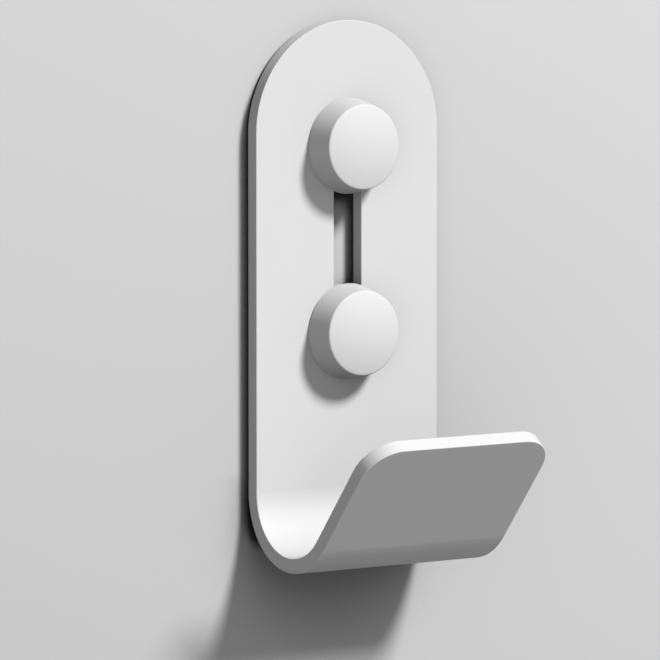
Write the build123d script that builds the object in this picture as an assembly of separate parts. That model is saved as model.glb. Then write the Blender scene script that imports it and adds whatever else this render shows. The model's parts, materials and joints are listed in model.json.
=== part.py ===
from build123d import *
from math import cos, radians, sin, sqrt
import os

# Robe hook: a bent sheet plate held to the wall by two knobs on threaded studs.
# Millimetres. X points right, Y into the wall, Z up. The origin is where the axis
# of the upper stud meets the wall, so everything in front of the wall has a negative Y.

# Bent plate
plate_width = 45.0
plate_thickness = 3.0
head_above_stud = 3.1
bend_below_stud = 32.0
bend_inner_radius = 12.0
bend_sweep = 140.5
lip_length = 28.0
lip_corner_radius = 7.6
edge_break = 0.15

# Fixing points
stud_spacing = 38.0
height_travel = 3.0

# Studs: a machine thread for the knob in front, a wood thread in the wall
thread_diameter = 6.0
thread_in_knob = 4.4
thread_end_chamfer = 0.5
wood_thread_diameter = 5.6
wood_thread_length = 25.0
point_length = 5.0
point_diameter = 0.8
socket_across_flats = 3.0
socket_depth = 2.0

# Knobs
knob_base_diameter = 19.8
knob_face_diameter = 17.4
knob_side_height = 5.8
knob_dome_rise = 1.1
knob_face_fillet = 0.4
knob_base_fillet = 0.15
knob_mouth_chamfer = 0.4

# Soft washer in the underside of each knob, and spacer between plate and wall
washer_diameter = 13.0
washer_thickness = 0.9
washer_proud = 0.1
spacer_diameter = 19.0
spacer_thickness = 0.6

# Clearances, all radial or along the axis
slot_clearance = 0.4
thread_clearance = 0.05
thread_end_clearance = 0.4
washer_rim_clearance = 0.05
washer_hole_clearance = 0.3

# Sizes that follow from the ones above
plate_back = -spacer_thickness
plate_front = plate_back - plate_thickness
knob_base = plate_front - washer_proud
stud_front = knob_base - thread_in_knob
stud_tip = wood_thread_length + point_length
head_centre = head_above_stud
bend_start = -stud_spacing - bend_below_stud
thread_radius = thread_diameter / 2
washer_hole_diameter = thread_diameter + 2 * washer_hole_clearance
washer_seat_depth = washer_thickness - washer_proud
stations = {"upper": 0.0, "lower": -stud_spacing}
towards_room = (0, -1, 0)
touching = 0.001


def turning_plane(height):
    """Plane of a turned piece's profile: radius first, then Y, about a stud's axis."""
    return Plane(origin=(0, 0, height), x_dir=(1, 0, 0), z_dir=(0, 0, 1))


def stud_axis(height):
    return Axis((0, 0, height), towards_room)


def turned(profile, height):
    """Solid of revolution about a stud's axis from a flat profile of radius and Y."""
    return revolve(turning_plane(height) * profile, stud_axis(height))


def ring(outer_diameter, inner_diameter, front, back, height):
    """Flat ring about a stud's axis, from front to back along Y."""
    inner, outer = inner_diameter / 2, outer_diameter / 2
    corners = [(inner, front), (outer, front), (outer, back), (inner, back)]
    return turned(make_face(Polyline(*corners, close=True)), height)


def round_the_bend(radius, turn):
    """Point on the bend, at a radius from its centre and a turn from the straight leg."""
    angle = radians(turn)
    centre_y = plate_front - bend_inner_radius
    return Vector(centre_y + radius * cos(angle), bend_start - radius * sin(angle))


def plate_section():
    """The sheet's section, seen from the side: straight leg, bend and leaning lip."""
    outer_radius = bend_inner_radius + plate_thickness
    top = head_centre + plate_width / 2
    lean = radians(bend_sweep)
    along_lip = Vector(-sin(lean), -cos(lean)) * lip_length
    skins = []
    for face, radius in ((plate_front, bend_inner_radius), (plate_back, outer_radius)):
        start, middle, end = (
            round_the_bend(radius, turn) for turn in (0, bend_sweep / 2, bend_sweep)
        )
        leg = Line((face, top), start)
        bend = ThreePointArc(start, middle, end)
        lip = Line(end, end + along_lip)
        skins.append((leg, bend, lip))
    front, back = skins
    top_edge = Line(front[0] @ 0, back[0] @ 0)
    tip_edge = Line(front[2] @ 1, back[2] @ 1)
    return Plane.YZ * make_face([*front, *back, top_edge, tip_edge])


def front_outline():
    """Front view of the plate: a round head above straight sides that run past the bend."""
    foot = bend_start - bend_inner_radius - 2 * plate_thickness
    sides = Pos(0, (head_centre + foot) / 2) * Rectangle(plate_width, head_centre - foot)
    return Plane.XZ * (sides + Pos(0, head_centre) * Circle(plate_width / 2))


def slot_cutter():
    """Upright slot that both studs pass through, longer than their spacing by the travel."""
    width = thread_diameter + 2 * slot_clearance
    between_ends = stud_spacing + 2 * height_travel
    outline = Pos(0, -stud_spacing / 2) * Rot(0, 0, 90) * SlotCenterToCenter(between_ends, width)
    return extrude(Plane.XZ * outline, plate_thickness + spacer_thickness, both=True)


def is_sharp(edge):
    """True for an edge between a skin of the sheet and its cut edge, not for a smooth seam."""
    across_sheet = abs(edge.length - plate_thickness) < touching
    across_width = abs(edge.length - plate_width) < touching
    return not (across_sheet or across_width)


def hook_plate():
    """Folded sheet with rounded ends, a slot for the studs and slightly broken edges."""
    reach = bend_inner_radius + 2 * plate_thickness + lip_length
    sheet = extrude(plate_section(), plate_width / 2, both=True)
    sheet &= extrude(front_outline(), 2 * reach, both=True)
    tip = sheet.faces().sort_by(Axis.Y)[0]
    tip_corners = tip.edges().filter_by(lambda e: abs(e.length - plate_thickness) < touching)
    sheet = fillet(tip_corners, lip_corner_radius)
    sheet -= slot_cutter()
    return fillet(sheet.edges().filter_by(is_sharp), edge_break)


def stud(height):
    """Hanger stud, driven into the wall by the hexagon socket in its front end."""
    wood_radius = wood_thread_diameter / 2
    profile = [
        (0, stud_front),
        (thread_radius - thread_end_chamfer, stud_front),
        (thread_radius, stud_front + thread_end_chamfer),
        (thread_radius, 0),
        (wood_radius, 0),
        (wood_radius, wood_thread_length),
        (point_diameter / 2, stud_tip),
        (0, stud_tip),
    ]
    body = turned(make_face(Polyline(*profile, close=True)), height)
    front = Plane(origin=(0, stud_front, height), z_dir=(0, 1, 0))
    hexagon = RegularPolygon(socket_across_flats / 2, 6, major_radius=False)
    return body - extrude(front * hexagon, socket_depth)


def knob(height):
    """Blind knob: tapered side, low domed face, threaded hole and a seat for its washer."""
    base, face = knob_base_diameter / 2, knob_face_diameter / 2
    rim = knob_base - knob_side_height
    crown = rim - knob_dome_rise
    dome_radius = (face**2 + knob_dome_rise**2) / (2 * knob_dome_rise)
    halfway = crown + dome_radius - sqrt(dome_radius**2 - (face / 2) ** 2)
    outline = [
        Polyline((0, crown), (0, knob_base), (base, knob_base), (face, rim)),
        ThreePointArc((face, rim), (face / 2, halfway), (0, crown)),
    ]
    profile = make_face(outline)
    profile = fillet(profile.vertices().sort_by_distance((face, rim))[0], knob_face_fillet)
    profile = fillet(profile.vertices().sort_by_distance((base, knob_base))[0], knob_base_fillet)
    seat_floor = knob_base - washer_seat_depth
    seat_radius = washer_diameter / 2 + washer_rim_clearance
    hole_radius = thread_radius + thread_clearance
    hole_end = stud_front - thread_end_clearance
    hollow = [
        (0, hole_end),
        (hole_radius, hole_end),
        (hole_radius, seat_floor - knob_mouth_chamfer),
        (hole_radius + knob_mouth_chamfer, seat_floor),
        (seat_radius, seat_floor),
        (seat_radius, knob_base),
        (0, knob_base),
    ]
    return turned(profile, height) - turned(make_face(Polyline(*hollow, close=True)), height)


def washer(height):
    """Soft washer that stays in the knob's underside and bears on the plate."""
    back = plate_front
    return ring(washer_diameter, washer_hole_diameter, back - washer_thickness, back, height)


def spacer(height):
    """Thin disc round the stud, which holds the plate just off the wall."""
    return ring(spacer_diameter, washer_hole_diameter, plate_back, 0, height)


os.makedirs("parts", exist_ok=True)
export_step(hook_plate(), "parts/hook_plate.step")
for station, height in stations.items():
    for piece in (stud, knob, washer, spacer):
        export_step(piece(height), f"parts/{station}_{piece.__name__}.step")
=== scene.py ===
"""Robe hook: its powder coat, the threads of its studs, and a pale wall in soft light.

Lengths are in metres, in the part's own frame: X points right, Y into the wall and Z up, and
the origin is where the axis of the upper stud meets the wall.
"""

import json
from math import ceil, cos, floor, hypot, pi, radians, sin, sqrt, tan, tau

import bmesh
import bpy
from bpy.props import FloatProperty, FloatVectorProperty, IntProperty, PointerProperty
from mathutils import Matrix, Vector


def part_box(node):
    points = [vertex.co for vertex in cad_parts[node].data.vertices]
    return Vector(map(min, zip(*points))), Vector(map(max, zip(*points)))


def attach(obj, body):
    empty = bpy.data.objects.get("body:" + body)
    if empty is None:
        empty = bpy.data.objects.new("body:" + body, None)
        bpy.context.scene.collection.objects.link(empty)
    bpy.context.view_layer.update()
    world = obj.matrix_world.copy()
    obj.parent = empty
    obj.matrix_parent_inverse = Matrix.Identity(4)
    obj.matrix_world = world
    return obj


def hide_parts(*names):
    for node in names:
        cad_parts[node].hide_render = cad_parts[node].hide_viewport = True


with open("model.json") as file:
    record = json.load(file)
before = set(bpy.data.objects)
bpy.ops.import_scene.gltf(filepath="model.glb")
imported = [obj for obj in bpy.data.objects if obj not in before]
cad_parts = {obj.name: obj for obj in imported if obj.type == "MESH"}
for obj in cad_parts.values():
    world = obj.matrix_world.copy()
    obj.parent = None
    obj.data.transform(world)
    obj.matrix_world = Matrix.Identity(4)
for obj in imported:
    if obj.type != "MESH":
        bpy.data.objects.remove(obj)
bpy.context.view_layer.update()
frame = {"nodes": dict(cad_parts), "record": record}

bl_info = {
    "name": "Robe Hook",
    "version": (1, 0, 0),
    "blender": (4, 5, 0),
    "location": "3D View > Sidebar > Robe Hook",
    "description": "Coats the robe hook, threads its studs and hangs it on a pale wall",
    "category": "Object",
}

STATIONS = ("upper", "lower")

# Turns a flat shape's upper side to the room
FACING_ROOM = Matrix.Rotation(pi / 2, 4, "X")

# Angle between faces above which their edge is sharp
SHARP_ANGLE = radians(35)

# Distance within which two corners are one
CLOSE = 1e-6

HEXAGON_SIDES = 6
WHITE = (1.0, 1.0, 1.0, 1.0)
WHOLE_RANGE = (0.0, 1.0)

# Range that most of a noise lies in, and how many finer layers each kind of noise has
NOISE_MIDDLE = (0.3, 0.7)
GRAIN_DETAIL = 1.0
SKIN_DETAIL = 2.0
CLOUD_DETAIL = 3.0


def slot_colour(slot):
    """Colour that the record gives to one of its material slots."""
    materials = {entry["slot"]: entry for entry in frame["record"]["materials"]}
    return materials[slot]["base_color"]


def length(name, description, default):
    return FloatProperty(
        name=name, description=description, default=default, min=0.0, unit="LENGTH", precision=5
    )


def factor(name, description, default):
    return FloatProperty(
        name=name, description=description, default=default, min=0.0, max=1.0, subtype="FACTOR"
    )


def amount(name, description, default):
    return FloatProperty(name=name, description=description, default=default, min=0.0)


def count(name, description, default, least):
    return IntProperty(name=name, description=description, default=default, min=least)


def angle(name, description, degrees):
    return FloatProperty(name=name, description=description, default=radians(degrees), subtype="ANGLE")


def colour(name, description, default):
    return FloatVectorProperty(
        name=name, description=description, default=default, min=0.0, max=1.0, size=3, subtype="COLOR"
    )


class CoatSettings(bpy.types.PropertyGroup):
    """Powder coat on the sheet and the knobs"""

    plate_colour: colour("Plate", "Colour of the sheet's coat", slot_colour("plate_coat"))
    knob_colour: colour("Knobs", "Colour of the knobs' coat", slot_colour("knob_coat"))
    plate_roughness: factor("Plate Roughness", "How matt the sheet is", 0.62)
    knob_roughness: factor("Knob Roughness", "How matt the knobs are", 0.56)
    roughness_swing: factor("Roughness Swing", "How much the gloss drifts", 0.03)
    reflection: factor("Reflection", "Strength of the coat's reflection", 0.4)
    peel_size: length("Peel Size", "Width of the coat's fine ripples", 0.0007)
    peel_depth: length("Peel Depth", "Height of the coat's fine ripples", 0.000012)
    grain_size: length("Grain Size", "Width of the powder's grain", 0.00018)
    grain_share: factor("Grain Share", "Height of the grain against the ripples", 0.25)
    cloud_size: length("Cloud Size", "Width of the faint clouds in the coat's shade", 0.012)
    cloud_depth: factor("Cloud Depth", "How much the clouds darken the coat", 0.012)


class PlasticSettings(bpy.types.PropertyGroup):
    """Moulded plastic of the washers and spacers"""

    colour: colour("Colour", "Colour of the plastic", slot_colour("washer_plastic"))
    roughness: factor("Roughness", "How matt the plastic is", 0.5)
    roughness_swing: factor("Roughness Swing", "How much the gloss drifts", 0.05)
    flow_size: length("Flow Size", "Width of the flow marks", 0.004)
    flow_depth: factor("Flow Depth", "How much the flow marks darken the plastic", 0.04)
    skin_size: length("Skin Size", "Width of the skin's fine texture", 0.00025)
    skin_depth: length("Skin Depth", "Height of the skin's fine texture", 0.00001)


class ZincSettings(bpy.types.PropertyGroup):
    """Bright zinc plate of the studs"""

    colour: colour("Colour", "Colour of the plating", slot_colour("zinc_steel"))
    roughness: factor("Roughness", "How matt the plating is", 0.42)
    roughness_swing: factor("Roughness Swing", "How much the gloss drifts", 0.09)
    cloud_size: length("Cloud Size", "Width of the clouds in the plating", 0.0018)
    cloud_depth: factor("Cloud Depth", "How much the clouds darken the plating", 0.18)
    pit_size: length("Pit Size", "Width of the fine pits", 0.00015)
    pit_depth: length("Pit Depth", "Depth of the fine pits", 0.000008)


class KnobSettings(bpy.types.PropertyGroup):
    """Shape of the knobs. Their overall size is read from the part"""

    taper: length("Taper", "How much smaller the face's radius is than the base's", 0.0012)
    dome_rise: length("Dome Rise", "Height of the domed face", 0.0011)
    face_round: length("Face Rounding", "Radius round the edge of the face", 0.0004)
    base_round: length("Base Rounding", "Radius round the edge of the base", 0.00015)
    seat_diameter: length("Seat Diameter", "Recess in the base for the washer", 0.0131)
    seat_depth: length("Seat Depth", "Depth of the recess", 0.0008)
    hole_depth: length("Hole Depth", "Depth of the threaded hole from the base", 0.0048)
    hole_diameter: length("Hole Diameter", "Bottom of the hole's thread", 0.0061)
    mouth_chamfer: length("Mouth Chamfer", "Chamfer at the mouth of the hole", 0.0004)
    thread_depth: length("Thread Depth", "Depth of the hole's thread", 0.0005)
    groove_width: length("Groove Width", "Width of the groove's bottom", 0.00015)
    facets: count("Facets", "Facets round a knob", 128, least=16)
    dome_rings: count("Dome Rings", "Rings across the domed face", 12, least=2)
    round_steps: count("Rounding Steps", "Steps in a rounded edge", 6, least=1)


class ThreadSettings(bpy.types.PropertyGroup):
    """Threads of the studs"""

    machine_pitch: length("Machine Pitch", "Rise of the knob's thread in one turn", 0.001)
    machine_depth: length("Machine Depth", "Depth of the knob's thread", 0.00061)
    machine_crest: length("Machine Crest", "Width of the knob thread's flat crest", 0.000125)
    wood_diameter: length("Wood Diameter", "Outer diameter of the thread in the wall", 0.0056)
    wood_pitch: length("Wood Pitch", "Rise of the wall's thread in one turn", 0.0026)
    wood_depth: length("Wood Depth", "Depth of the wall's thread", 0.00095)
    wood_crest: length("Wood Crest", "Width of the wall thread's crest", 0.00012)
    flank_angle: angle("Flank", "Slope of a thread's flank from square to the axis", 30.0)
    shank_diameter: length("Shank Diameter", "Plain blank between the two threads", 0.0053)
    shank_front: length("Shank in Front", "How far the shank stands off the wall", 0.0009)
    shank_back: length("Shank Behind", "How far the shank goes into the wall", 0.0012)
    run_out: length("Run-out", "Length over which a thread fades into the shank", 0.0008)
    front_chamfer: length("Front Chamfer", "Chamfer on the end inside the knob", 0.0005)
    point_length: length("Point Length", "Length of the taper at the tip", 0.005)
    point_diameter: length("Point Diameter", "Diameter of the blunt tip", 0.0008)
    socket_width: length("Socket Width", "Hexagon socket, across its flats", 0.003)
    socket_depth: length("Socket Depth", "Depth of the hexagon socket", 0.002)
    steps: count("Steps", "Facets in one turn of a thread", 48, least=12)


class StageSettings(bpy.types.PropertyGroup):
    """Wall, floor, lamps and camera"""

    wall_colour: colour("Wall", "Paint of the wall behind the hook", (0.755, 0.755, 0.755))
    # Painted light: the wall's colour lightens upwards and rightwards, towards the main lamp
    wall_rise: amount("Wall Rise", "Share by which the wall lightens in a metre upwards", 1.015)
    wall_drift: amount("Wall Drift", "Share by which it lightens in a metre rightwards", 0.48)
    wall_bounce: factor("Wall Bounce", "How light the wall is to the light that it throws back", 0.25)
    wall_width: length("Wall Width", "Width of the stretch of wall", 1.2)
    wall_top: length("Wall Top", "Height of the wall above the hook", 1.0)
    wall_setback: length("Wall Setback", "Hair's breadth that keeps the wall off the spacers", 0.00005)
    grit_size: length("Paint Grit Size", "Width of the paint's fine texture", 0.002)
    grit_depth: length("Paint Grit Depth", "Height of the paint's fine texture", 0.00002)
    # Painted shade: the wall's colour is darkened close beside the hook, where it blocks the light
    contact_reach: length("Contact Reach", "How near the hook darkens the wall beside it", 0.006)
    contact_depth: factor("Contact Depth", "How much it darkens the wall", 0.9)
    contact_open: factor("Contact Start", "Open share of the light below which it darkens", 0.7)
    contact_shut: factor("Contact End", "Open share of the light at which it is darkest", 0.53)
    # Painted shade: the wall's colour is darkened below the hook's bend, where it blocks the light
    shade_reach: length("Shade Reach", "How far below the bend the wall is shaded", 0.03)
    shade_depth: factor("Shade Depth", "How much the wall is shaded there", 0.55)
    shade_open: factor("Shade Start", "Open share of the light below which it is shaded", 0.82)
    shade_shut: factor("Shade End", "Open share of the light at which it is shaded most", 0.42)
    shade_top: length("Shade Top", "Depth below the upper stud at which the shade sets in", 0.066)
    shade_foot: length("Shade Foot", "Depth below the upper stud at which it is full", 0.076)
    floor_drop: length("Floor Drop", "How far the floor lies below the hook", 1.5)
    floor_side: length("Floor Side", "Side of the square floor", 5.0)
    floor_roughness: factor("Floor Roughness", "How matt the floor is", 0.9)
    floor_cloud_size: length("Floor Cloud Size", "Width of the faint clouds on the floor", 0.4)
    floor_cloud_depth: factor("Floor Cloud Depth", "How much the clouds darken the floor", 0.02)
    backdrop: factor("Background", "Brightness of the background round the wall", 0.66)
    key_strength: amount("Key Strength", "Strength of the main lamp", 3.08)
    key_spread: angle("Key Spread", "Width of the main lamp as the hook sees it", 12.0)
    key_azimuth: angle("Key Azimuth", "How far right of straight ahead the main lamp stands", 26.48)
    key_elevation: angle("Key Elevation", "How high the main lamp stands", 43.63)
    back_strength: amount("Back Strength", "Strength of the lamp that lights views from behind", 1.7)
    back_spread: angle("Back Spread", "Width of the lamp behind", 25.0)
    back_azimuth: angle("Back Azimuth", "How far right of straight ahead the lamp behind is", 215.0)
    back_elevation: angle("Back Elevation", "How high the lamp behind stands", 22.0)
    left_ambient: amount("Left Light", "Soft light from the left of the room", 1.5)
    right_ambient: amount("Right Light", "Soft light from the right of the room", 0.35)
    front_ambient: amount("Front Light", "Soft light from straight ahead", 0.05)
    ambient_tilt: factor("Light Tilt", "How much more of the soft light comes from below", 0.3)
    rear_ambient: amount("Rear Light", "Soft light behind the wall", 0.38)
    camera_azimuth: angle("Camera Azimuth", "Where the camera stands round the hook", -34.72)
    camera_elevation: angle("Camera Elevation", "How high the camera stands", 5.22)
    camera_distance: length("Camera Distance", "From the camera to its target", 1.1933)
    camera_lens: amount("Lens", "Focal length in millimetres", 318.8)
    camera_target: FloatVectorProperty(
        name="Camera Target",
        description="Point that the camera looks at",
        default=(-0.0044, -0.0036, -0.03755),
        unit="LENGTH",
    )


class HookSettings(bpy.types.PropertyGroup):
    """Everything that can be set on the robe hook"""

    coat: PointerProperty(type=CoatSettings)
    plastic: PointerProperty(type=PlasticSettings)
    zinc: PointerProperty(type=ZincSettings)
    knobs: PointerProperty(type=KnobSettings)
    threads: PointerProperty(type=ThreadSettings)
    stage: PointerProperty(type=StageSettings)


def add_node(tree, kind, inputs=None, **settings):
    """Adds a shader node. An input is a value, or the socket that feeds it."""
    node = tree.nodes.new(kind)
    for name, value in settings.items():
        setattr(node, name, value)
    for name, value in (inputs or {}).items():
        if isinstance(value, bpy.types.NodeSocket):
            tree.links.new(value, node.inputs[name])
        else:
            node.inputs[name].default_value = value
    return node


def calculate(tree, operation, first, second):
    """Result of a sum, product or comparison of two numbers or sockets."""
    return add_node(tree, "ShaderNodeMath", {0: first, 1: second}, operation=operation).outputs[0]


def noise(tree, place, size, detail):
    """Noise with features of about the given size."""
    inputs = {"Vector": place, "Scale": 1 / size, "Detail": detail}
    return add_node(tree, "ShaderNodeTexNoise", inputs).outputs["Fac"]


def mapped(tree, value, source, target):
    """Moves a value from the source range to the target range, and keeps it inside."""
    ends = {"From Min": source[0], "From Max": source[1], "To Min": target[0], "To Max": target[1]}
    return add_node(tree, "ShaderNodeMapRange", {"Value": value, **ends}).outputs["Result"]


def shaded(tree, base, value, depth):
    """A colour, darkened by up to depth where value is high."""
    dark = [channel * (1 - depth) for channel in base]
    inputs = {"Factor": value, "A": (*base, 1), "B": (*dark, 1)}
    return add_node(tree, "ShaderNodeMix", inputs, data_type="RGBA").outputs["Result"]


def bump(tree, height, depth):
    return add_node(tree, "ShaderNodeBump", {"Height": height, "Distance": depth}).outputs["Normal"]


def new_material(name, roughness):
    """Material of one roughness, with its tree, its shader and its coordinates."""
    material = bpy.data.materials.new(name)
    material.use_nodes = True
    tree = material.node_tree
    shader = tree.nodes["Principled BSDF"]
    shader.inputs["Roughness"].default_value = roughness
    place = add_node(tree, "ShaderNodeTexCoord").outputs["Object"]
    return material, tree, shader, place


def clouded(name, base, roughness, swing, cloud_size, cloud_depth):
    """Material with clouds in its shade and, if that swings, in its gloss.

    Gives the material, its tree, its shader and its coordinates.
    """
    material, tree, shader, place = new_material(name, roughness)
    clouds = mapped(tree, noise(tree, place, cloud_size, CLOUD_DETAIL), NOISE_MIDDLE, WHOLE_RANGE)
    tree.links.new(shaded(tree, base, clouds, cloud_depth), shader.inputs["Base Color"])
    if swing:
        gloss = mapped(tree, clouds, WHOLE_RANGE, (roughness - swing, roughness + swing))
        tree.links.new(gloss, shader.inputs["Roughness"])
    return material, tree, shader, place


def powder_coat(name, coat, base, roughness):
    """Baked powder coat: fine ripples with a finer grain on them."""
    material, tree, shader, place = clouded(
        name, base, roughness, coat.roughness_swing, coat.cloud_size, coat.cloud_depth
    )
    ripples = noise(tree, place, coat.peel_size, GRAIN_DETAIL)
    grain = noise(tree, place, coat.grain_size, GRAIN_DETAIL)
    surface = calculate(tree, "ADD", ripples, calculate(tree, "MULTIPLY", grain, coat.grain_share))
    tree.links.new(bump(tree, surface, coat.peel_depth), shader.inputs["Normal"])
    shader.inputs["Specular IOR Level"].default_value = coat.reflection
    return material


def moulded_plastic(plastic):
    """Natural white plastic with faint flow marks and a fine matt skin."""
    material, tree, shader, place = clouded(
        "natural_plastic", plastic.colour, plastic.roughness, plastic.roughness_swing,
        plastic.flow_size, plastic.flow_depth,
    )
    skin = bump(tree, noise(tree, place, plastic.skin_size, SKIN_DETAIL), plastic.skin_depth)
    tree.links.new(skin, shader.inputs["Normal"])
    return material


def bright_zinc(zinc):
    """Zinc plate over steel: cloudy shine with fine pitting."""
    material, tree, shader, place = clouded(
        "bright_zinc", zinc.colour, zinc.roughness, zinc.roughness_swing,
        zinc.cloud_size, zinc.cloud_depth,
    )
    pits = bump(tree, noise(tree, place, zinc.pit_size, SKIN_DETAIL), zinc.pit_depth)
    tree.links.new(pits, shader.inputs["Normal"])
    shader.inputs["Metallic"].default_value = 1.0
    return material


def dress(node, material):
    """Gives a node of the part its finish."""
    for slot in frame["nodes"][node].material_slots:
        slot.material = material


class ROBEHOOK_OT_coat_plate(bpy.types.Operator):
    """Give the folded sheet its nearly matt powder coat"""

    bl_idname = "robe_hook.coat_plate"
    bl_label = "Coat Plate"

    def execute(self, context):
        coat = context.scene.robe_hook.coat
        matt = powder_coat("plate_powder_coat", coat, coat.plate_colour, coat.plate_roughness)
        dress("hook_plate", matt)
        return {"FINISHED"}


class ROBEHOOK_OT_mould_washers(bpy.types.Operator):
    """Make the washers and spacers of natural white plastic"""

    bl_idname = "robe_hook.mould_washers"
    bl_label = "Mould Washers"

    def execute(self, context):
        plastic = moulded_plastic(context.scene.robe_hook.plastic)
        for station in STATIONS:
            for piece in ("washer", "spacer"):
                dress(f"{station}_{piece}", plastic)
        return {"FINISHED"}


def thread_profile(crest, depth, crest_width, pitch, flank_angle):
    """Radius and height along one turn: half a root, the flanks round a crest, half a root."""
    flank = depth * tan(flank_angle)
    half_root = (pitch - crest_width) / 2 - flank
    rise, fall = half_root + flank, half_root + flank + crest_width
    root = crest - depth
    return [
        (root, 0.0),
        (root, half_root),
        (crest, rise),
        (crest, fall),
        (root, fall + flank),
        (root, pitch),
    ]


def spin_outline(bm, outline, steps, turns=1, rise=0.0):
    """Winds an outline of radius and Y about the Y axis, with the given rise in each turn."""
    verts = [bm.verts.new((radius, height, 0.0)) for radius, height in outline]
    edges = [bm.edges.new(ends) for ends in zip(verts, verts[1:])]
    step = Vector((0.0, rise / steps, 0.0))
    bmesh.ops.spin(
        bm, geom=verts + edges, cent=(0, 0, 0), axis=(0, 1, 0), dvec=step,
        angle=tau * turns, steps=steps * turns, use_merge=not rise,
    )
    bmesh.ops.remove_doubles(bm, verts=bm.verts, dist=CLOSE)


def wind_thread(bm, profile, pitch, front, back, steps):
    """Winds a thread's profile, in step with the wall's plane, and cuts it square at both ends."""
    start = (floor(front / pitch) - 1) * pitch
    turns = ceil((back - start) / pitch) + 1
    outline = [(radius, start + height) for radius, height in profile]
    spin_outline(bm, outline, steps, turns, pitch)
    for height, outwards in ((front, -1), (back, 1)):
        geometry = bm.verts[:] + bm.edges[:] + bm.faces[:]
        bmesh.ops.bisect_plane(
            bm, geom=geometry, dist=CLOSE, clear_outer=True,
            plane_co=(0, height, 0), plane_no=(0, outwards, 0),
        )


def set_radii(bm, radius_at):
    """Moves each corner in or out to radius_at(its radius, its Y)."""
    for vert in bm.verts:
        radius = hypot(vert.co.x, vert.co.z)
        scale = radius_at(radius, vert.co.y) / radius
        vert.co.x *= scale
        vert.co.z *= scale


def rim_at(bm, height):
    """Open edges that lie at one height."""
    level = [edge for edge in bm.edges if all(abs(vert.co.y - height) < CLOSE for vert in edge.verts)]
    return [edge for edge in level if edge.is_boundary]


def add_to(bm, part):
    """Moves a finished part into another mesh."""
    mesh = bpy.data.meshes.new("part")
    part.to_mesh(mesh)
    part.free()
    bm.from_mesh(mesh)
    bpy.data.meshes.remove(mesh)


def add_piece(name, bm, material):
    """Object with the finished mesh of a bmesh, smooth but for its sharp edges. Frees the bmesh."""
    for face in bm.faces:
        face.smooth = True
    for edge in bm.edges:
        edge.smooth = edge.calc_face_angle(0.0) < SHARP_ANGLE
    mesh = bpy.data.meshes.new(name)
    bm.to_mesh(mesh)
    bm.free()
    mesh.materials.append(material)
    piece = bpy.data.objects.new(name, mesh)
    bpy.context.scene.collection.objects.link(piece)
    return piece


def machine_thread(threads, crest, front):
    """Thread that the knob runs on: chamfered in front, fading into the shank behind."""
    bm = bmesh.new()
    back, shank = -threads.shank_front, threads.shank_diameter / 2
    profile = thread_profile(
        crest, threads.machine_depth, threads.machine_crest, threads.machine_pitch, threads.flank_angle
    )
    wind_thread(bm, profile, threads.machine_pitch, front, back, threads.steps)

    def radius_at(radius, height):
        fade = min(1.0, (back - height) / threads.run_out)
        return min(shank + (radius - shank) * fade, crest - threads.front_chamfer + height - front)

    set_radii(bm, radius_at)
    return bm


def wood_thread(threads, tip):
    """Thread that bites in the wall: rising from the shank, and tapering to a blunt point."""
    bm = bmesh.new()
    front, shank, crest = threads.shank_back, threads.shank_diameter / 2, threads.wood_diameter / 2
    profile = thread_profile(
        crest, threads.wood_depth, threads.wood_crest, threads.wood_pitch, threads.flank_angle
    )
    wind_thread(bm, profile, threads.wood_pitch, front, tip, threads.steps)
    taper_start, blunt = tip - threads.point_length, threads.point_diameter / 2

    def radius_at(radius, height):
        fade = min(1.0, (height - front) / threads.run_out)
        taper = max(0.0, (height - taper_start) / threads.point_length)
        return (shank + (radius - shank) * fade) * (1 - taper * (1 - blunt / crest))

    set_radii(bm, radius_at)
    return bm


def sink_socket(bm, threads, front):
    """Closes the front end round a hexagon socket."""
    rim = rim_at(bm, front)
    corner = threads.socket_width / 2 / cos(pi / HEXAGON_SIDES)
    place = Matrix.Translation((0, front, 0)) @ FACING_ROOM
    bmesh.ops.create_circle(bm, segments=HEXAGON_SIDES, radius=corner, matrix=place)

    # Only the hexagon's edges have no face yet
    mouth = [edge for edge in bm.edges if edge.is_wire]
    bmesh.ops.triangle_fill(bm, edges=rim + mouth, use_beauty=True)
    walls = bmesh.ops.extrude_edge_only(bm, edges=mouth)["geom"]
    bottom = [item for item in walls if isinstance(item, bmesh.types.BMVert)]
    bmesh.ops.translate(bm, verts=bottom, vec=(0, threads.socket_depth, 0))
    bmesh.ops.contextual_create(bm, geom=rim_at(bm, front + threads.socket_depth))


def hanger_stud(threads, crest, front, tip):
    """Mesh of one stud, about the Y axis."""
    bm = bmesh.new()
    add_to(bm, machine_thread(threads, crest, front))
    add_to(bm, wood_thread(threads, tip))
    bmesh.ops.bridge_loops(bm, edges=rim_at(bm, -threads.shank_front) + rim_at(bm, threads.shank_back))
    sink_socket(bm, threads, front)
    bmesh.ops.contextual_create(bm, geom=rim_at(bm, tip))
    bmesh.ops.recalc_face_normals(bm, faces=bm.faces)
    return bm


class ROBEHOOK_OT_thread_studs(bpy.types.Operator):
    """Model both hanger studs with their threads, socket and point"""

    bl_idname = "robe_hook.thread_studs"
    bl_label = "Thread Studs"

    def execute(self, context):
        settings = context.scene.robe_hook
        zinc = bright_zinc(settings.zinc)
        for station in STATIONS:
            low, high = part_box(f"{station}_stud")
            bm = hanger_stud(settings.threads, (high.x - low.x) / 2, low.y, high.y)
            bmesh.ops.translate(bm, verts=bm.verts, vec=(0, 0, (low.z + high.z) / 2))
            stud = add_piece(f"{station}_threaded_stud", bm, zinc)
            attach(stud, "wall_studs")
            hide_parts(f"{station}_stud")
        return {"FINISHED"}


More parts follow.
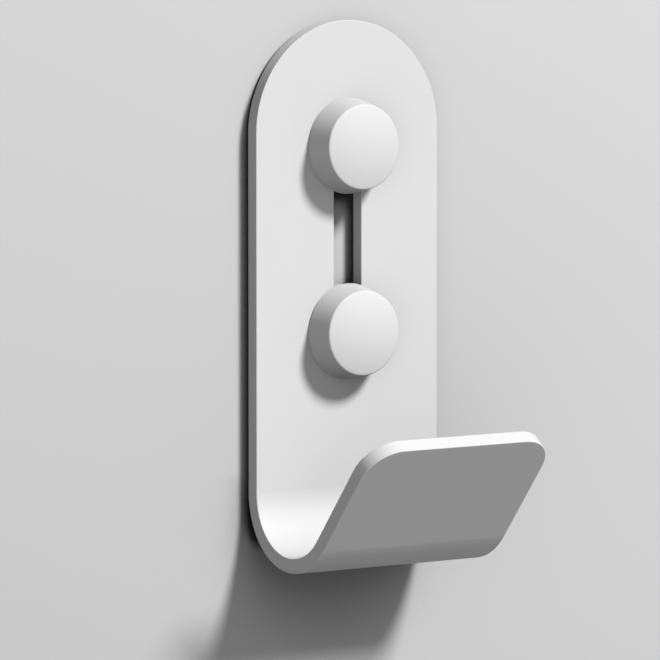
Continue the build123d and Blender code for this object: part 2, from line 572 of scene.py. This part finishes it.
def rounded(corners, steps):
    """Outline through corners of radius, height and rounding, with an arc at each rounded one."""
    places = [Vector((radius, height)) for radius, height, _ in corners]
    outline = []
    for index, (place, (_, _, rounding)) in enumerate(zip(places, corners)):
        if not rounding:
            outline.append(place)
            continue
        back = (places[index - 1] - place).normalized()
        ahead = (places[index + 1] - place).normalized()
        half = back.angle(ahead) / 2
        centre = place + (back + ahead).normalized() * rounding / sin(half)
        start = place + back * rounding / tan(half) - centre
        end = place + ahead * rounding / tan(half) - centre
        outline += [centre + start.slerp(end, step / steps) * rounding for step in range(steps + 1)]
    return outline


def knob_shell(knobs, base_radius, front, back):
    """Knob without its hole: from the middle of its domed face round to the washer's recess."""
    face_radius, rim = base_radius - knobs.taper, front + knobs.dome_rise
    dome_radius = (face_radius**2 + knobs.dome_rise**2) / (2 * knobs.dome_rise)
    corners = []
    for ring in range(knobs.dome_rings):
        radius = face_radius * ring / knobs.dome_rings
        corners.append((radius, front + dome_radius - sqrt(dome_radius**2 - radius**2), 0.0))
    seat = knobs.seat_diameter / 2
    corners += [
        (face_radius, rim, knobs.face_round),
        (base_radius, back, knobs.base_round),
        (seat, back, 0.0),
        (seat, back - knobs.seat_depth, 0.0),
    ]
    bm = bmesh.new()
    spin_outline(bm, rounded(corners, knobs.round_steps), knobs.facets)
    return bm


def knob_hole(knobs, threads, back):
    """Threaded hole from its blind end to its chamfered mouth."""
    bm = bmesh.new()
    crest, mouth, end = knobs.hole_diameter / 2, back - knobs.seat_depth, back - knobs.hole_depth
    bore = crest - knobs.thread_depth
    profile = thread_profile(
        crest, knobs.thread_depth, knobs.groove_width, threads.machine_pitch, threads.flank_angle
    )
    wind_thread(bm, profile, threads.machine_pitch, end, mouth, threads.steps)

    def radius_at(radius, height):
        fade = min(1.0, (height - end) / threads.run_out)
        return max(bore + (radius - bore) * fade, crest + knobs.mouth_chamfer + height - mouth)

    set_radii(bm, radius_at)
    bmesh.ops.contextual_create(bm, geom=rim_at(bm, end))
    return bm


def turned_knob(knobs, threads, base_radius, front, back):
    """Mesh of one knob, about the Y axis."""
    bm = knob_shell(knobs, base_radius, front, back)
    add_to(bm, knob_hole(knobs, threads, back))
    bmesh.ops.triangle_fill(bm, edges=rim_at(bm, back - knobs.seat_depth), use_beauty=True)
    bmesh.ops.recalc_face_normals(bm, faces=bm.faces)
    return bm


class ROBEHOOK_OT_turn_knobs(bpy.types.Operator):
    """Model both knobs with their threaded holes and give them their satin powder coat"""

    bl_idname = "robe_hook.turn_knobs"
    bl_label = "Turn Knobs"

    def execute(self, context):
        settings = context.scene.robe_hook
        coat = settings.coat
        satin = powder_coat("knob_powder_coat", coat, coat.knob_colour, coat.knob_roughness)
        for station in STATIONS:
            low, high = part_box(f"{station}_knob")
            bm = turned_knob(settings.knobs, settings.threads, (high.x - low.x) / 2, low.y, high.y)
            bmesh.ops.translate(bm, verts=bm.verts, vec=(0, 0, (low.z + high.z) / 2))
            knob = add_piece(f"{station}_turned_knob", bm, satin)
            knob.modifiers.new("even_shading", "WEIGHTED_NORMAL").keep_sharp = True
            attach(knob, f"{station}_knob")
            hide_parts(f"{station}_knob")
        return {"FINISHED"}


def towards(azimuth, elevation):
    """Unit vector to a place round the hook: azimuth 0 is straight in front of the wall."""
    flat = cos(elevation)
    return Vector((sin(azimuth) * flat, -cos(azimuth) * flat, sin(elevation)))


def seen_directly(tree):
    """1 for rays of the camera, of reflections and of clear materials, and 0 for scattered light."""
    path = add_node(tree, "ShaderNodeLightPath").outputs
    seen = calculate(tree, "MAXIMUM", path["Is Camera Ray"], path["Is Glossy Ray"])
    return calculate(tree, "MAXIMUM", seen, path["Is Transmission Ray"])


def shade(tree, stage, reach, shut, open_share, depth):
    """Painted shade: 1 in the open, and less where the hook stands within reach on the main lamp's
    side.
    """
    lamp = towards(stage.key_azimuth, stage.key_elevation)
    aim = add_node(tree, "ShaderNodeCombineXYZ", dict(zip("XYZ", lamp))).outputs["Vector"]
    inputs = {"Distance": reach, "Normal": aim}
    # Darkens the colour by how much of the lamp's side is blocked nearby: painted shade
    share = add_node(tree, "ShaderNodeAmbientOcclusion", inputs).outputs["AO"]
    return mapped(tree, share, (shut, open_share), (1 - depth, 1.0))


def wall_tone_with_painted_light(tree, stage, place):
    """Colour with painted light and shade: lighter upwards and rightwards, towards the main lamp, and
    darker beside the hook and below its bend, where its shade falls.
    """
    axes = add_node(tree, "ShaderNodeSeparateXYZ", {"Vector": place}).outputs
    # Painted light: lighter upwards and rightwards, towards the main lamp
    rise = calculate(tree, "MULTIPLY", axes["Z"], stage.wall_rise)
    drift = calculate(tree, "MULTIPLY", axes["X"], stage.wall_drift)
    slope = calculate(tree, "ADD", calculate(tree, "ADD", rise, drift), 1.0)
    # Painted shade close beside the hook
    contact = shade(
        tree, stage, stage.contact_reach, stage.contact_shut, stage.contact_open, stage.contact_depth
    )
    # Painted shade below the bend, faded out above it
    below = shade(tree, stage, stage.shade_reach, stage.shade_shut, stage.shade_open, stage.shade_depth)
    above = mapped(tree, axes["Z"], (-stage.shade_foot, -stage.shade_top), WHOLE_RANGE)
    painted_shades = calculate(tree, "MULTIPLY", contact, calculate(tree, "MAXIMUM", above, below))
    inputs = {0: stage.wall_colour, "Scale": calculate(tree, "MULTIPLY", slope, painted_shades)}
    return add_node(tree, "ShaderNodeVectorMath", inputs, operation="SCALE").outputs[0]


def wall_paint_with_painted_light(stage):
    """Matt paint, with painted light and shade where it is seen directly. From behind the wall isn't
    there, and doesn't shade what shows through it.
    """
    material, tree, shader, place = new_material("wall_paint_with_painted_light", 1.0)
    bounce = (stage.wall_bounce, stage.wall_bounce, stage.wall_bounce, 1.0)
    tones = {"Factor": seen_directly(tree), "A": bounce, "B": wall_tone_with_painted_light(tree, stage, place)}
    paint = add_node(tree, "ShaderNodeMix", tones, data_type="RGBA").outputs["Result"]
    tree.links.new(paint, shader.inputs["Base Color"])
    grit = noise(tree, place, stage.grit_size, CLOUD_DETAIL)
    tree.links.new(bump(tree, grit, stage.grit_depth), shader.inputs["Normal"])
    shader.inputs["Specular IOR Level"].default_value = 0.0
    behind = add_node(tree, "ShaderNodeNewGeometry").outputs["Backfacing"]
    passed = add_node(tree, "ShaderNodeLightPath").outputs["Transparent Depth"]
    absent = calculate(tree, "MAXIMUM", behind, calculate(tree, "GREATER_THAN", passed, 0.0))
    clear = add_node(tree, "ShaderNodeBsdfTransparent").outputs[0]
    choice = {0: absent, 1: shader.outputs[0], 2: clear}
    shown = add_node(tree, "ShaderNodeMixShader", choice).outputs[0]
    tree.links.new(shown, tree.nodes["Material Output"].inputs["Surface"])
    return material


def floor_paint(stage):
    """Pale floor with faint clouds."""
    material, *_ = clouded(
        "floor_paint", stage.wall_colour, stage.floor_roughness, swing=0.0,
        cloud_size=stage.floor_cloud_size, cloud_depth=stage.floor_cloud_depth,
    )
    return material


def add_wall(stage):
    """Upright sheet just behind the spacers, whose front faces the room."""
    bm = bmesh.new()
    height = stage.wall_top + stage.floor_drop
    shape = Matrix.Diagonal((stage.wall_width / 2, height / 2, 1, 1))
    lift = Matrix.Translation((0, stage.wall_setback, stage.wall_top - height / 2))
    bmesh.ops.create_grid(bm, x_segments=1, y_segments=1, size=1, matrix=lift @ FACING_ROOM @ shape)
    return add_piece("wall", bm, wall_paint_with_painted_light(stage))


def add_floor(stage):
    """Level sheet below the hook, seen by the camera and left out of the light."""
    bm = bmesh.new()
    place = Matrix.Translation((0, 0, -stage.floor_drop))
    bmesh.ops.create_grid(bm, x_segments=1, y_segments=1, size=stage.floor_side / 2, matrix=place)
    ground = add_piece("floor", bm, floor_paint(stage))
    ground.visible_diffuse = False
    ground.visible_shadow = False
    return ground


def add_lamp(name, azimuth, elevation, strength, spread):
    """Far lamp that shines evenly from one side, as wide as spread."""
    lamp = bpy.data.lights.new(name, "SUN")
    lamp.energy = strength
    lamp.angle = spread
    holder = bpy.data.objects.new(name, lamp)
    holder.rotation_euler = towards(azimuth, elevation).to_track_quat("Z", "Y").to_euler()
    bpy.context.scene.collection.objects.link(holder)


def add_surroundings(stage):
    """Soft light from the room's three sides, other soft light behind, and a plain background."""
    world = bpy.data.worlds.new("studio")
    world.use_nodes = True
    tree = world.node_tree
    direction = add_node(tree, "ShaderNodeTexCoord").outputs["Generated"]
    axes = add_node(tree, "ShaderNodeSeparateXYZ", {"Vector": direction}).outputs
    left = calculate(tree, "MULTIPLY", axes["X"], -stage.left_ambient)
    right = calculate(tree, "MULTIPLY", axes["X"], stage.right_ambient)
    tilt = calculate(tree, "SUBTRACT", 1.0, calculate(tree, "MULTIPLY", axes["Z"], stage.ambient_tilt))
    sides = calculate(tree, "MULTIPLY", calculate(tree, "MAXIMUM", left, right), tilt)
    ahead = calculate(tree, "MULTIPLY", axes["Y"], -1.0)
    room = calculate(tree, "MULTIPLY", calculate(tree, "ADD", sides, stage.front_ambient), ahead)
    behind = calculate(tree, "GREATER_THAN", axes["Y"], 0.0)
    levels = {"Factor": behind, "A": room, "B": stage.rear_ambient}
    level = add_node(tree, "ShaderNodeMix", levels).outputs["Result"]
    soft = add_node(tree, "ShaderNodeBackground", {"Strength": level, "Color": WHITE}).outputs[0]
    inputs = {"Strength": stage.backdrop, "Color": WHITE}
    backdrop = add_node(tree, "ShaderNodeBackground", inputs).outputs[0]
    both = {0: seen_directly(tree), 1: soft, 2: backdrop}
    shown = add_node(tree, "ShaderNodeMixShader", both).outputs[0]
    tree.links.new(shown, tree.nodes["World Output"].inputs["Surface"])
    bpy.context.scene.world = world


def add_camera(stage):
    """Camera at the viewing angle of the photograph."""
    data = bpy.data.cameras.new("camera")
    data.lens = stage.camera_lens
    back = towards(stage.camera_azimuth, stage.camera_elevation)
    camera = bpy.data.objects.new("camera", data)
    camera.location = Vector(stage.camera_target) + back * stage.camera_distance
    camera.rotation_euler = back.to_track_quat("Z", "Y").to_euler()
    bpy.context.scene.collection.objects.link(camera)
    bpy.context.scene.camera = camera


class ROBEHOOK_OT_set_stage(bpy.types.Operator):
    """Put up the wall, floor, lamps, background and camera"""

    bl_idname = "robe_hook.set_stage"
    bl_label = "Set Stage"

    def execute(self, context):
        stage = context.scene.robe_hook.stage
        add_wall(stage)
        add_floor(stage)
        add_lamp("key", stage.key_azimuth, stage.key_elevation, stage.key_strength, stage.key_spread)
        add_lamp(
            "back", stage.back_azimuth, stage.back_elevation, stage.back_strength, stage.back_spread
        )
        add_surroundings(stage)
        add_camera(stage)
        context.scene.view_settings.view_transform = "Standard"
        context.scene.cycles.diffuse_bounces = 0
        return {"FINISHED"}


class ROBEHOOK_PT_panel(bpy.types.Panel):
    """Sizes, colours and steps of the robe hook"""

    bl_label = "Robe Hook"
    bl_space_type = "VIEW_3D"
    bl_region_type = "UI"
    bl_category = "Robe Hook"

    def draw(self, context):
        settings = context.scene.robe_hook
        for operator in OPERATORS:
            self.layout.operator(operator.bl_idname)
        for title in HookSettings.__annotations__:
            group = getattr(settings, title)
            box = self.layout.box()
            box.label(text=title.capitalize())
            for name in group.__annotations__:
                box.prop(group, name)


SETTINGS = (
    CoatSettings,
    PlasticSettings,
    ZincSettings,
    KnobSettings,
    ThreadSettings,
    StageSettings,
    HookSettings,
)
OPERATORS = (
    ROBEHOOK_OT_coat_plate,
    ROBEHOOK_OT_mould_washers,
    ROBEHOOK_OT_thread_studs,
    ROBEHOOK_OT_turn_knobs,
    ROBEHOOK_OT_set_stage,
)
CLASSES = (*SETTINGS, *OPERATORS, ROBEHOOK_PT_panel)


def register():
    for cls in CLASSES:
        bpy.utils.register_class(cls)
    bpy.types.Scene.robe_hook = PointerProperty(type=HookSettings)


def unregister():
    del bpy.types.Scene.robe_hook
    for cls in reversed(CLASSES):
        bpy.utils.unregister_class(cls)


def main():
    register()
    bpy.ops.robe_hook.coat_plate()
    bpy.ops.robe_hook.mould_washers()
    bpy.ops.robe_hook.thread_studs()
    bpy.ops.robe_hook.turn_knobs()
    bpy.ops.robe_hook.set_stage()


if __name__ == "__main__":
    main()
